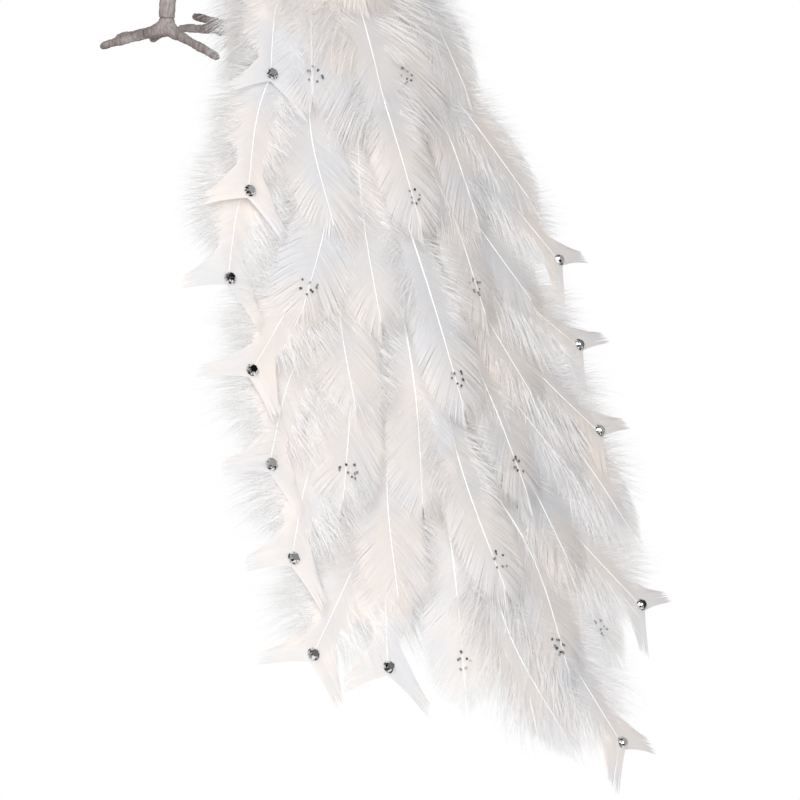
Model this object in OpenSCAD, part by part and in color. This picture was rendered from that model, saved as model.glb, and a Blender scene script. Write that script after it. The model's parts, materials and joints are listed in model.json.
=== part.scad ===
// Feathered peacock ornament: a carved foam bird with a long hanging train of
// goose and marabou plumes, standing on paper-wrapped wire legs.
// The bird faces -X, its left side is -Y, and the origin is the point of the
// perch that lies midway between its feet.

/* [Legs and feet] */
// Distance between the two ankles
foot_spread = 48; // [40:1:56]
// Height of the hip, where the leg wires leave the foam
hip_height = 102; // [100:1:106]
// How far the hip lies behind the ankle
hip_back = 10; // [0:1:16]
// Diameter of the wrapped leg
leg_d = 9; // [7:0.5:11]
// Diameter of one leg wire
wire_d = 1.6; // [1:0.1:2]
// Diameter of a wrapped toe at its root
toe_d = 5.6; // [5:0.2:5.8]

/* [Body] */
// Length of the foam body along its own axis
body_len = 155; // [140:5:165]
// Thickest radius of the plumage round the body
body_r = 50; // [44:1:52]
// Rise of the body's axis towards the breast, in degrees
body_rise = 37; // [32:1:40]
// Radius of the plumage at the top of the neck
neck_r = 17; // [15:1:19]

/* [Train] */
// Angle between the train and the vertical, in degrees
train_lean = 20; // [14:1:24]
// Number of feather rows on the train's outer face
train_rows = 8; // [6:1:8]
// Distance from one feather row to the next
row_pitch = 46; // [42:1:50]
// Length of a full train feather
feather_len = 118; // [100:1:125]
// Width of a train feather's firm vane
feather_w = 30; // [24:1:32]
// Tilt of each feather off the felt board, in degrees
row_tilt = 6; // [6:0.5:8]
// Slope of the train's two halves, like a low roof, in degrees
roof = 10; // [6:1:12]

/* [Trimmings] */
// Diameter of a rhinestone
stone_d = 6.4; // [4:0.1:7]
// Thickness of a pressed feather vane
vane_t = 0.8; // [0.6:0.1:1]

/* [Hidden] */

plume = "whitesmoke";
taupe = "#93888a";

// Feet
ankle_y = foot_spread / 2;
ankle_z = 6;
ankle_r = 5.6;
toe_gap = 0.5;
toe_start = 16;
palm_len = toe_start - toe_d / 2 - toe_gap;
palm_t = 5.2;
left_palm_drop = 9.5;
right_palm_drop = -1;
palm_margin = 13;
hip_gap = 0.5;
// Each toe: turn from straight ahead towards the bird's outer side, length, drop of its tip.
// The order is outer, middle, inner, hind, and the two feet grip at different heights
left_toes = [[22, 43, 10], [0, 47, 5.5], [-24, 38, 6], [180, 49, 16]];
right_toes = [[22, 43, 2], [0, 42, -7], [-24, 38, 0], [180, 46, 12]];

// Body: its axis runs from the rump to the breast, then bends up into the neck
rump = [80, 92];
neck_bend_r = 90;
neck_turn = 68;
nape_bend_r = 52;
nape_turn = 97;
body_dir = 180 - body_rise;
neck_len = neck_bend_r * neck_turn * PI / 180;
nape_len = nape_bend_r * nape_turn * PI / 180;
neck_start = body_len;
nape_start = body_len + neck_len;
spine_len = nape_start + nape_len;
core_depth = 7;
breast_depth = 8;
root_depth = 4;
ring_pitch = 22;
leg_free_angle = 56;
head_r = neck_r - 4;
eye_r = 3;
crest_len = 36;
bundle_r = wire_d / 2 * (1 + sqrt(2)) + 0.1;
wire_fit = 0.05;
hip_wire_len = 42;
leg_len = norm([hip_back, hip_height - ankle_z]);
leg_lean = atan2(hip_back, hip_height - ankle_z);
tail_wire_len = 43;
wing_shoulder = 118;
wing_r = 60.5;
wing_slope = 72;
wing_yaw = 5;
wing_len = 122;

// Train
train_root = [95, 0, 100];
board_t = 1.6;
board_len = 380;
train_swing_gap = 0.6;
wire_depth = 2.9;
first_row = 13;
lane_step = 1.3;

function dir2(a) = [cos(a), sin(a)];
function breast() = rump + body_len * dir2(body_dir);
function neck_centre() = breast() + neck_bend_r * [sin(body_dir), -cos(body_dir)];
function neck_top_dir() = body_dir - neck_turn;
function neck_top() = neck_centre() - neck_bend_r * [sin(neck_top_dir()), -cos(neck_top_dir())];
function nape_centre() = neck_top() - nape_bend_r * [sin(neck_top_dir()), -cos(neck_top_dir())];

// Heading of the spine, in degrees from +X towards +Z, u millimetres from the rump
function spine_dir(u) =
    u <= neck_start ? body_dir
    : u <= nape_start ? body_dir - (u - neck_start) / neck_bend_r * 180 / PI
    : neck_top_dir() + (u - nape_start) / nape_bend_r * 180 / PI;

// Place of the spine in the plane of symmetry, as [x, z]
function spine_pos(u) =
    u <= neck_start ? rump + u * dir2(body_dir)
    : u <= nape_start ? neck_centre() - neck_bend_r * [sin(spine_dir(u)), -cos(spine_dir(u))]
    : nape_centre() + nape_bend_r * [sin(spine_dir(u)), -cos(spine_dir(u))];

// Radius of the plumage along the spine: an egg that runs out into the neck
function egg_r(u) = 12 + (body_r - 12) * pow(sin(180 * (u + 8) / 206), 0.75);
function throat_r(u) = neck_r + (egg_r(body_len) - neck_r) * exp(-(u - body_len) / 34);
function plumage_r(u) = u <= body_len ? egg_r(u) : throat_r(u);
function foam_r(u) = egg_r(u) - core_depth - breast_depth * pow(u / body_len, 4);
function plume_lift(u) = 1.5 + 0.11 * plumage_r(u);

// Half-width of a vane at the fraction t of its length
function vane_half(t, w) = max(0.6, w / 2 * pow(sin(180 * min(1, 0.06 + 0.9 * t)), 0.7));

// Outline of a feather with a rounded end, along +X
function round_vane(l, w) = concat(
    [for (t = [0:0.2:0.8]) [t * l, vane_half(t * 0.86, w)]],
    [[0.94 * l, 0.3 * w], [l, 0.08 * w], [l, -0.08 * w], [0.94 * l, -0.3 * w]],
    [for (t = [0.8:-0.2:0]) [t * l, -vane_half(t * 0.86, w)]]
);

// Outline of a feather whose quill is clipped, so its vane parts in a swallow tail
function forked_vane(l, w) = concat(
    [for (t = [0:0.2:0.8]) [t * l, vane_half(t * 0.8, w)]],
    [[l, 0.5 * w], [0.96 * l, 0.22 * w], [0.84 * l, 0], [0.96 * l, -0.22 * w], [l, -0.5 * w]],
    [for (t = [0.8:-0.2:0]) [t * l, -vane_half(t * 0.8, w)]]
);

module vane(l, w, forked = false) {
    translate([0, 0, -vane_t / 2])
        linear_extrude(vane_t)
            polygon(forked ? forked_vane(l, w) : round_vane(l, w));
}

// ---- Plumage of the body, neck and head ----

// Moves its child to the spine at u, with +X towards the tail and +Z outwards
module at_spine(u, around) {
    p = spine_pos(u);
    translate([p[0], 0, p[1]])
        rotate([0, 180 - spine_dir(u), 0])
            rotate([around, 0, 0])
                children();
}

// One ring of feathers round the spine, which lie back over the ring behind
module plume_ring(u, l, gap, skip_below = 0, phase = 0) {
    r0 = plumage_r(u) - root_depth;
    r1 = plumage_r(max(0, u - l)) + plume_lift(u);
    count = floor(2 * PI * plumage_r(u) / gap);
    w = min(0.9 * gap, 1.8 * min(r0, r1) * tan(180 / count));
    rise = atan2(r1 - r0, l);
    for (k = [0:count - 1]) {
        a = (k + phase) * 360 / count;
        if (abs((a % 360) - 180) > skip_below)
            at_spine(u, a)
                translate([0, 0, r0])
                    rotate([0, -rise, 0])
                        vane(l, w);
    }
}

// The rings of the body; those that would reach the legs leave the belly bare there
function ring_len(k) = k < 5 ? 46 : 43;
function ring_gap_angle(k) = k > 0 && k < 4 ? leg_free_angle : 0;

module body_rings(first, last) {
    for (k = [first:last])
        plume_ring(44 + ring_pitch * k, ring_len(k), ring_pitch, ring_gap_angle(k), 0.5 * (k % 2));
}

module rump_feathers() {
    color(plume) body_rings(0, 1);
}

module back_feathers() {
    color(plume) body_rings(2, 4);
}

module breast_feathers() {
    color(plume) body_rings(5, 6);
}

module neck_feathers() {
    color(plume)
        for (k = [0:4])
            plume_ring(body_len + 38 + 17 * k, 22, 15, phase = 0.5 * (k % 2));
}

module head_feathers() {
    color(plume)
        for (k = [0:4])
            plume_ring(nape_start + 15 + 14 * k, 16, 13, phase = 0.5 * (k % 2));
}

// The carved foam: body and neck in one piece
module foam_body() {
    color("ivory") difference() {
        union() {
            translate([rump[0], 0, rump[1]])
                rotate([0, 180 - body_dir, 0])
                    rotate([0, -90, 0])
                        rotate_extrude($fn = 96)
                            polygon(concat(
                                [[0, 0]],
                                [for (u = [0:body_len / 14:body_len]) [foam_r(u), u]],
                                [[20, body_len + 9], [14, body_len + 18], [0, body_len + 18]]
                            ));
            foam_neck(neck_r - core_depth + 1);
        }
        hip_bore(-ankle_y);
        hip_bore(ankle_y);
        tail_bore();
    }
}

// A round neck that follows the spine's bend up to the nape
module foam_neck(r) {
    c = neck_centre();
    translate([c[0], 0, c[1]])
        rotate([90, 0, 0])
            rotate([0, 0, neck_top_dir() + 90])
                rotate_extrude(angle = neck_turn, $fn = 96)
                    translate([neck_bend_r, 0]) circle(r, $fn = 48);
}

module foam_head() {
    c = nape_centre();
    color("ivory") difference() {
        union() {
            translate([c[0], 0, c[1]])
                rotate([90, 0, 0])
                    rotate([0, 0, neck_top_dir() - 90])
                        rotate_extrude(angle = nape_turn, $fn = 96)
                            translate([nape_bend_r, 0]) circle(neck_r - core_depth + 1, $fn = 48);
            at_face() sphere(head_r, $fn = 64);
        }
        eye_ball(-1);
        eye_ball(1);
    }
}

// Moves its child to the middle of the head, with +X along the beak
module at_face() {
    p = spine_pos(spine_len);
    translate([p[0], 0, p[1]])
        rotate([0, -spine_dir(spine_len), 0])
            rotate([180, 0, 0])
                children();
}

module eye_ball(side) {
    at_face() translate([4, -side * (head_r - 1.6), 2]) sphere(eye_r, $fn = 32);
}

module left_eye() {
    color("black") eye_ball(-1);
}

module right_eye() {
    color("black") eye_ball(1);
}

// One half of the beak: a cone cut flat where the two halves meet
module beak_half(r, l, up) {
    at_face() difference() {
        translate([head_r - 4, 0, 0]) rotate([0, 90, 0]) cylinder(h = l + 4, r1 = r, r2 = 0.8, $fn = 32);
        sphere(head_r, $fn = 64);
        translate([0, -r - 1, up ? 0.05 - 2 * r : -0.05]) cube([head_r + l + 2, 2 * r + 2, 2 * r]);
    }
}

module upper_beak() {
    color("darkgray") beak_half(5, 19, true);
}

module lower_beak() {
    color("darkgray") beak_half(4, 15, false);
}

// Five thin stems fan up from the crown, each with a small round plume at its end
module crest_fan() {
    for (k = [-2:2])
        at_face() rotate([0, -100 + 16 * k, 0]) translate([head_r + 1.2, 0, 0]) children();
}

module crest_stems() {
    color(plume) crest_fan() rotate([0, 90, 0]) cylinder(h = crest_len, d = 1, $fn = 16);
}

module crest_tips() {
    color(plume)
        crest_fan()
            translate([crest_len + 4.6, 0, 0]) rotate([90, 0, 0])
                translate([0, 0, -1.5]) cylinder(h = 3, r = 4.5, $fn = 32);
}

// ---- Wings, folded against the body ----

// Moves its child to the right shoulder, with +X towards the tail and +Z outwards
module at_wing() {
    at_spine(wing_shoulder, -wing_slope) translate([0, 0, wing_r]) rotate([0, wing_yaw, 0]) children();
}

module wing_board() {
    color("ivory")
        at_wing() translate([-22, 0, 0]) linear_extrude(board_t) polygon(round_vane(wing_len, 52));
}

module wing_coverts() {
    color(plume)
        at_wing()
            for (row = [0:2], lane = [-1:1])
                translate([-16 + 24 * row, 14 * lane, 7.5])
                    rotate([0, -6, 0])
                        rotate([0, 0, 4 * lane])
                            vane(44, 13);
}

module wing_flights() {
    color(plume)
        at_wing()
            for (k = [0:3])
                translate([48 - 4 * k, 9 * (k - 1.5), board_t + 0.8 + 1.2 * k])
                    rotate([0, 0, -3 * (k - 1.5)])
                        vane(98, 15);
}

module left_wing_board() {
    mirror([0, 1, 0]) wing_board();
}

module right_wing_board() {
    wing_board();
}

module left_wing_coverts() {
    mirror([0, 1, 0]) wing_coverts();
}

module right_wing_coverts() {
    wing_coverts();
}

module left_wing_flights() {
    mirror([0, 1, 0]) wing_flights();
}

module right_wing_flights() {
    wing_flights();
}

// ---- Legs and feet ----

// Moves its child to an ankle, with +Z up the leg
module at_leg(side) {
    translate([0, side * ankle_y, ankle_z]) rotate([0, leg_lean, 0]) children();
}

// Four leg wires lie in a square
module wire_bundle(h) {
    pitch = wire_d / 2 + wire_fit / 2;
    for (a = [-1, 1], b = [-1, 1])
        translate([a * pitch, b * pitch, 0]) cylinder(h = h, d = wire_d, $fn = 24);
}

module hip_bore(y) {
    at_leg(sign(y)) {
        translate([0, 0, leg_len]) cylinder(h = hip_wire_len + 2, r = bundle_r + wire_fit, $fn = 32);
        translate([0, 0, leg_len]) sphere(leg_d / 2 + 1.5, $fn = 48);
    }
}

module hip_wire(side) {
    color("gray")
        at_leg(side) translate([0, 0, leg_len + leg_d / 2 + hip_gap]) wire_bundle(hip_wire_len - leg_d);
}

module leg_wires(side) {
    color("gray")
        at_leg(side) translate([0, 0, ankle_r + 0.1]) wire_bundle(leg_len - ankle_r - 1.5);
}

// The paper tape round the leg, closed and rounded at the hip
module leg_wrap(side) {
    color(taupe)
        at_leg(side) difference() {
            union() {
                translate([0, 0, ankle_r + 0.05])
                    cylinder(h = leg_len - ankle_r, d = leg_d, $fn = 48);
                translate([0, 0, leg_len]) sphere(d = leg_d, $fn = 48);
            }
            translate([0, 0, -1]) cylinder(h = leg_len, r = bundle_r, $fn = 32);
        }
}

function toes(side) = side < 0 ? left_toes : right_toes;
function palm_drop(side) = side < 0 ? left_palm_drop : right_palm_drop;
function toe_dip(toe) = asin(toe[2] / toe[1]);

// The knot of tape where the leg wires part: a flat palm runs forward to the three
// front toes, and a short stub runs back to the hind toe
module ankle_binding(side) {
    color(taupe) {
        at_leg(side)
            rotate_extrude($fn = 48)
                polygon([[0, -5], [3.6, -5], [5.2, -2.4], [5.2, 2.4], [4.2, ankle_r], [0, ankle_r]]);
        translate([0, side * ankle_y, ankle_z]) {
            rotate([0, 0, 180]) rotate([0, palm_drop(side), 0]) palm(side);
            rotate([0, toe_dip(toes(side)[3]), 0])
                translate([0, 0, -palm_t / 2])
                    linear_extrude(palm_t)
                        polygon([[1.6, -3], [palm_len, -2.6], [palm_len, 2.6], [1.6, 3]]);
        }
    }
}

// The palm widens from the ankle to a curved front edge that stops just short of the toes
module palm(side) {
    first = -toes(side)[0][0] - palm_margin;
    last = -toes(side)[2][0] + palm_margin;
    arc = [for (k = [0:6]) first + (last - first) * k / 6];
    translate([0, 0, -palm_t / 2])
        linear_extrude(palm_t)
            polygon(concat(
                [[1.6, -3.6 * side]],
                [for (a = arc) palm_len * [cos(a), side * sin(a)]],
                [[1.6, 3.6 * side]]
            ));
}

// Moves its child to the root of a toe, with +X along it
module at_toe(side, toe) {
    translate([0, side * ankle_y, ankle_z])
        rotate([0, 0, 180 - side * toe[0]])
            rotate([0, toe_dip(toe), 0])
                translate([toe_start, 0, 0])
                    children();
}

// A wrapped toe: a rounded root, a slight taper and a round tip
module toe(side, toe) {
    run = toe[1] - toe_start;
    tip_r = 0.36 * toe_d;
    color(taupe)
        at_toe(side, toe) {
            sphere(d = toe_d, $fn = 48);
            rotate([0, 90, 0]) cylinder(h = run - tip_r, r1 = toe_d / 2, r2 = tip_r, $fn = 48);
            translate([run - tip_r, 0, 0]) sphere(tip_r, $fn = 48);
        }
}

module thigh_tuft(side) {
    color(plume)
        at_leg(side)
            translate([0, 0, leg_len - 4])
                for (k = [0:7])
                    rotate([0, 0, k * 45]) translate([8, 0, 0]) rotate([0, 73, 0]) vane(34, 8);
}

module left_hip_wire() { hip_wire(-1); }
module right_hip_wire() { hip_wire(1); }
module left_thigh_tuft() { thigh_tuft(-1); }
module right_thigh_tuft() { thigh_tuft(1); }
module left_leg_wires() { leg_wires(-1); }
module right_leg_wires() { leg_wires(1); }
module left_leg_wrap() { leg_wrap(-1); }
module right_leg_wrap() { leg_wrap(1); }
module left_ankle_binding() { ankle_binding(-1); }
module right_ankle_binding() { ankle_binding(1); }
module left_outer_toe() { toe(-1, left_toes[0]); }
module left_middle_toe() { toe(-1, left_toes[1]); }
module left_inner_toe() { toe(-1, left_toes[2]); }
module left_hind_toe() { toe(-1, left_toes[3]); }
module right_outer_toe() { toe(1, right_toes[0]); }
module right_middle_toe() { toe(1, right_toes[1]); }
module right_inner_toe() { toe(1, right_toes[2]); }
module right_hind_toe() { toe(1, right_toes[3]); }

// ---- Train ----

// Moves its child onto the train, with +X down it, +Y to the right and +Z outwards
module on_train() {
    translate(train_root) rotate([0, 90 - train_lean, 0]) children();
}

// How far down the train each row of feathers is glued
function row_start(i) = first_row + row_pitch * i;

// The rows widen and fan out over the first few, then keep their spread
function row_ramp(i) = min(1, i / 3);
function row_edge(i) = 16 + 30 * row_ramp(i);
function row_fan(i) = 20 + 19 * row_ramp(i);
function row_len(i) = feather_len * [0.72, 0.78, 0.98, 1][min(i, 3)];
function row_lanes(i) = i % 2 == 0 ? [-1, -0.48, 0, 0.48, 1] : [-1, -0.64, -0.27, 0.27, 0.64, 1];

// Most of the outermost feathers are clipped, and so is the left inner one of the last row
left_forks = [1:train_rows - 1];
right_forks = [3, 4, 5, train_rows - 1];
function among(i, list) = len([for (j = list) if (j == i) j]) > 0;
function row_forked(i, k) =
    k == 0 ? among(i, left_forks)
    : k == len(row_lanes(i)) - 1 ? among(i, right_forks)
    : k == 1 && i == train_rows - 1;

// Moves its child to the root of a feather on the outer face; raised feathers lie over the others
module at_feather(start, y, fan, raised = 0) {
    translate([start, 0, board_t + lane_step * raised])
        rotate([-roof * sign(y), 0, 0])
            translate([0, y, 0])
                rotate([0, -row_tilt, 0])
                    rotate([0, 0, fan])
                        children();
}

module train_row(i) {
    color(plume)
        on_train()
            for (k = [0:len(row_lanes(i)) - 1])
                at_lane(i, k) vane(row_len(i), feather_w, row_forked(i, k));
}

// Moves its child to the root of feather k in row i: every second feather is raised
module at_lane(i, k) {
    lane = row_lanes(i)[k];
    at_feather(row_start(i), row_edge(i) * lane, row_fan(i) * lane, (i + k + 1) % 2) children();
}

module train_row_1() { train_row(0); }
module train_row_2() { train_row(1); }
module train_row_3() { train_row(2); }
module train_row_4() { train_row(3); }
module train_row_5() { train_row(4); }
module train_row_6() { train_row(5); }
module train_row_7() { train_row(6); }
module train_row_8() { train_row(7); }

// The two longest feathers, on the end of the board: [place across, fan, length]
tip_feathers = [[7, 8, 112], [15, 23, 140]];

module train_tip_feathers() {
    color(plume)
        on_train()
            for (k = [0:1])
                at_tip(k) vane(tip_feathers[k][2], feather_w, k == 1);
}

module at_tip(k) {
    at_feather(board_len - 8, tip_feathers[k][0], tip_feathers[k][1], k) children();
}

// Plain plumes under the board, which hang close together
module train_under_feathers() {
    color(plume)
        on_train()
            mirror([0, 0, 1])
                for (i = [0:4])
                    for (lane = i % 2 == 0 ? [-1, 0, 1] : [-0.5, 0.5])
                        translate([38 + 66 * i, 0, wire_depth + 1.6 + 12 * abs(lane)])
                            translate([0, 30 * lane, 0])
                                rotate([0, -row_tilt, 0])
                                    rotate([0, 0, 12 * lane])
                                        vane(110, feather_w);
}

// The stiff felt board: two strips that meet in a low ridge
module train_board() {
    color("ivory")
        on_train()
            for (side = [-1, 1])
                rotate([-roof * side, 0, 0])
                    translate([0, 0, -board_t / 2])
                        linear_extrude(board_t)
                            polygon([
                                [train_swing_gap, 0], [train_swing_gap, side * 16], [110, side * 42],
                                [board_len - 20, side * 42], [board_len, side * 24], [board_len, 0]
                            ]);
}

// Two wires taped along the underside of the board
module train_wires() {
    color("gray")
        on_train()
            for (y = [-5, 5])
                translate([3, y, -wire_depth]) rotate([0, 90, 0]) cylinder(h = 240, d = wire_d, $fn = 24);
}

// The stub of the tail wires, which comes out of the rump and stops short of the train
module tail_wire_stub() {
    color("gray") tail_stub(wire_d);
}

module tail_bore() {
    tail_stub(wire_d + 2 * wire_fit);
}

module tail_stub(d) {
    for (y = [-5, 5])
        translate([rump[0] - 30, y, rump[1] + 8])
            rotate([0, 90, 0]) cylinder(h = tail_wire_len, d = d, $fn = 24);
}

// ---- Trimmings ----

// A round stone sits at the notch of each forked feather
module stone(l) {
    translate([0.84 * l - 3.4, 0, vane_t / 2 + 0.02])
        cylinder(h = 2.4, d1 = stone_d, d2 = 0.6 * stone_d, $fn = 24);
}

module rhinestones() {
    color("silver")
        on_train() {
            for (i = [0:train_rows - 1], k = [0:len(row_lanes(i)) - 1])
                if (row_forked(i, k))
                    at_lane(i, k) stone(row_len(i));
            at_tip(1) stone(tip_feathers[1][2]);
        }
}

// A daub of glitter near the end of every second inner feather
module glitter_dots() {
    color("silver")
        on_train()
            for (i = [0:train_rows - 1], k = [1:len(row_lanes(i)) - 2])
                if (!row_forked(i, k) && ((i + k) % 2 == 0 || i == train_rows - 1))
                    at_lane(i, k)
                        translate([0.78 * row_len(i), 0, vane_t / 2 + 0.02])
                            glitter_daub(20 * i);
}

module glitter_daub(turn) {
    for (k = [0:5])
        rotate([0, 0, 60 * k + turn])
            translate([3.2 + k % 2, 0, 0])
                cylinder(h = 0.4, d = 1.5, $fn = 6);
}

foam_body();
left_hip_wire();
right_hip_wire();
tail_wire_stub();
rump_feathers();
back_feathers();
breast_feathers();
neck_feathers();
head_feathers();
foam_head();
upper_beak();
lower_beak();
left_eye();
right_eye();
crest_stems();
crest_tips();
left_wing_board();
right_wing_board();
left_wing_coverts();
right_wing_coverts();
left_wing_flights();
right_wing_flights();
left_thigh_tuft();
right_thigh_tuft();
left_leg_wires();
right_leg_wires();
left_leg_wrap();
right_leg_wrap();
left_ankle_binding();
right_ankle_binding();
left_outer_toe();
left_middle_toe();
left_inner_toe();
left_hind_toe();
right_outer_toe();
right_middle_toe();
right_inner_toe();
right_hind_toe();
train_board();
train_wires();
train_row_1();
train_row_2();
train_row_3();
train_row_4();
train_row_5();
train_row_6();
train_row_7();
train_row_8();
train_tip_feathers();
train_under_feathers();
rhinestones();
glitter_dots();
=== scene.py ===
# %% [markdown]
# # A white feather peacock with a hanging train
# The ornament is a carved foam bird on wire legs, dressed in white goose and marabou plumes.
# The CAD model holds its wires, foam, felt and one flat plate for every feather. This notebook
# reads where each plate lies, and grows a real feather there: a quill, a vane of zipped barbs
# and a skirt of loose down. Everything is in metres, in the CAD model's own frame.

import json
import math

import bmesh
import bpy
import numpy as np
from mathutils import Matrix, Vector

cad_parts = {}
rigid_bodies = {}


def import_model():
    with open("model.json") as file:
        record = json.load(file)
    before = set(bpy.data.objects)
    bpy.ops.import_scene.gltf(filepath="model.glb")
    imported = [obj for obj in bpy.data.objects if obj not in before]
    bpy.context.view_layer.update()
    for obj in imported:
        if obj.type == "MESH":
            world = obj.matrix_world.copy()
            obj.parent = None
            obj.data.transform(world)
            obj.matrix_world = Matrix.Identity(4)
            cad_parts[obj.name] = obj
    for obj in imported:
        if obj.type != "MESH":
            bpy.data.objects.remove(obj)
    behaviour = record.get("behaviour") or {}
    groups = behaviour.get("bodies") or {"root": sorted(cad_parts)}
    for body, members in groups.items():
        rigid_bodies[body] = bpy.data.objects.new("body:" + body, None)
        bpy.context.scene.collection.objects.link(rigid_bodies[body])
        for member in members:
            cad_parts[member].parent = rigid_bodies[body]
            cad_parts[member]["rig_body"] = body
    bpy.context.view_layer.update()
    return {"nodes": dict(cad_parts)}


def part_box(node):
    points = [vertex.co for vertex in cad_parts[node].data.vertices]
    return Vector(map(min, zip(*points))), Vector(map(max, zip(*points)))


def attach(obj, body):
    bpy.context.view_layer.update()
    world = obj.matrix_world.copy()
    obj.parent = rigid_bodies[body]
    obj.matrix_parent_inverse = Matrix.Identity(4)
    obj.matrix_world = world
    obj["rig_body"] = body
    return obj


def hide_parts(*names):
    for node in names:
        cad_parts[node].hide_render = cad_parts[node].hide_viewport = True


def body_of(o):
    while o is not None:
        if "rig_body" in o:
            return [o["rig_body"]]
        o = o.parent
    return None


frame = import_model()
MM = 0.001

# %% [markdown]
# ## Small helpers
# Node trees are built in code, so one helper adds a node, sets it and links its inputs. Colours
# are written as the hex values that a paint chart gives, and Blender wants them linear.

# %% Helpers for nodes and colours
def add_node(tree, kind, settings=None, inputs=None):
    """Adds a node, sets its properties, and links or sets its inputs. Returns the node."""
    node = tree.nodes.new(kind)
    for key, value in (settings or {}).items():
        setattr(node, key, value)
    for key, value in (inputs or {}).items():
        if isinstance(value, bpy.types.NodeSocket):
            tree.links.new(value, node.inputs[key])
        else:
            node.inputs[key].default_value = value
    return node


def linear(hex_colour):
    """Turns an sRGB hex colour such as #f4f1ee into a linear RGBA value."""
    parts = [int(hex_colour[i:i + 2], 16) / 255 for i in (1, 3, 5)]
    return [c / 12.92 if c <= 0.04045 else ((c + 0.055) / 1.055) ** 2.4 for c in parts] + [1.0]


def new_material(name):
    """An empty material with a Principled shader. Returns the material, its tree and the shader."""
    material = bpy.data.materials.new(name)
    material.use_nodes = True
    tree = material.node_tree
    return material, tree, tree.nodes["Principled BSDF"]


# %% [markdown]
# ## Feather: keratin that lets light through
# A white feather is clear keratin full of tiny air gaps, so it scatters nearly all the light it
# meets, and a good share of it comes out on the far side. A matte Principled shader gives the
# front, and a Translucent shader mixed with it gives the far side. Down is given the whitest tint,
# painted light that makes up for the shade its fine barbs cast on each other; vanes have a faint
# cream and cool grey drift from one part of the bird to the next; quills are harder, a little
# glossy and more yellow.

# %% Feather materials
THROUGH = 0.5


def feather_material(name, warm, cool, patch_mm, roughness, through, sheen=0.0):
    """Keratin: a tint that drifts between warm and cool over patches of patch_mm."""
    material, tree, shader = new_material(name)
    place = add_node(tree, "ShaderNodeTexCoord").outputs["Object"]
    drift = add_node(tree, "ShaderNodeTexNoise", None,
                     {"Vector": place, "Scale": 1 / (patch_mm * MM), "Detail": 3.0, "Roughness": 0.6})
    ramp = add_node(tree, "ShaderNodeValToRGB", None, {"Fac": drift.outputs["Fac"]})
    ramp.color_ramp.elements[0].position = 0.36
    ramp.color_ramp.elements[0].color = linear(cool)
    ramp.color_ramp.elements[1].position = 0.64
    ramp.color_ramp.elements[1].color = linear(warm)
    tree.links.new(ramp.outputs["Color"], shader.inputs["Base Color"])
    shader.inputs["Roughness"].default_value = roughness
    shader.inputs["IOR"].default_value = 1.54
    shader.inputs["Specular IOR Level"].default_value = 0.25
    shader.inputs["Sheen Weight"].default_value = sheen
    glow = add_node(tree, "ShaderNodeBsdfTranslucent", None, {"Color": ramp.outputs["Color"]})
    mix = add_node(tree, "ShaderNodeMixShader", None,
                   {0: through, 1: shader.outputs[0], 2: glow.outputs[0]})
    tree.links.new(mix.outputs[0], tree.nodes["Material Output"].inputs["Surface"])
    return material


def down_material(name, colour):
    """One even tint, because the fine barbs already break the light up."""
    material, tree, shader = new_material(name)
    shader.inputs["Base Color"].default_value = linear(colour)
    shader.inputs["Roughness"].default_value = 0.85
    shader.inputs["Specular IOR Level"].default_value = 0.1
    glow = add_node(tree, "ShaderNodeBsdfTranslucent", None, {"Color": linear(colour)})
    mix = add_node(tree, "ShaderNodeMixShader", None, {0: 0.55, 1: shader.outputs[0], 2: glow.outputs[0]})
    tree.links.new(mix.outputs[0], tree.nodes["Material Output"].inputs["Surface"])
    return material


# The down's whiter tint is painted light: it makes up for the shade its fine barbs cast on each other.
DOWN = down_material("marabou_down", "#fbfafa")
VANE = feather_material("goose_vane", "#faf5f1", "#f1f1f3", 42, 0.62, THROUGH)
QUILL = feather_material("quill_keratin", "#ffffff", "#fbf9f5", 9, 0.38, 0.2)
print("feather materials:", DOWN.name, VANE.name, QUILL.name)

# %% [markdown]
# ## Reading the plates
# Each feather node in the CAD model is a set of separate flat plates. Their corners are merged
# and followed from edge to edge, which gives one cloud of points for each plate. The longest
# direction of the cloud is the quill's, the next is across the vane, and the thinnest is the
# plate's normal. That is enough to grow a feather in the plate's place.

# %% Find every plate's place and direction
TAILWARD = np.array([0.45, 0.0, -0.9])


def plates(node):
    """The separate solids of a CAD node, each as an array of its corners."""
    work = bmesh.new()
    work.from_mesh(frame["nodes"][node].data)
    bmesh.ops.remove_doubles(work, verts=work.verts, dist=1e-6)
    seen, found = set(), []
    for start in work.verts:
        if start in seen:
            continue
        seen.add(start)
        group, front = [], [start]
        while front:
            vertex = front.pop()
            group.append(vertex.co[:])
            for edge in vertex.link_edges:
                other = edge.other_vert(vertex)
                if other not in seen:
                    seen.add(other)
                    front.append(other)
        found.append(np.array(group))
    work.free()
    return found


def read_feathers(node, outward):
    """One record per plate: its root, its three directions, its size and whether it's forked."""
    feathers = []
    for points in plates(node):
        centre = points.mean(0)
        along, across, up = np.linalg.svd(points - centre, full_matrices=False)[2]
        along = along * np.sign(along @ TAILWARD)
        up = up * np.sign(up @ outward(centre))
        across = np.cross(up, along)
        reach = (points - centre) @ along
        side = (points - centre) @ across
        middle = (side.max() + side.min()) / 2
        at_tip = side[reach > reach.max() - 0.3 * MM]
        feathers.append({
            "root": centre + along * reach.min() + across * middle,
            "along": along, "across": across, "up": up,
            "length": reach.max() - reach.min(), "width": side.max() - side.min(),
            "forked": np.ptp(at_tip) > 0.6 * np.ptp(side),
        })
    return feathers


TRAIN_OUT = np.array([0.94, 0.0, 0.34])
print("train_row_4:", [round(f["length"] / MM) for f in read_feathers("train_row_4", lambda c: TRAIN_OUT)])

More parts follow.
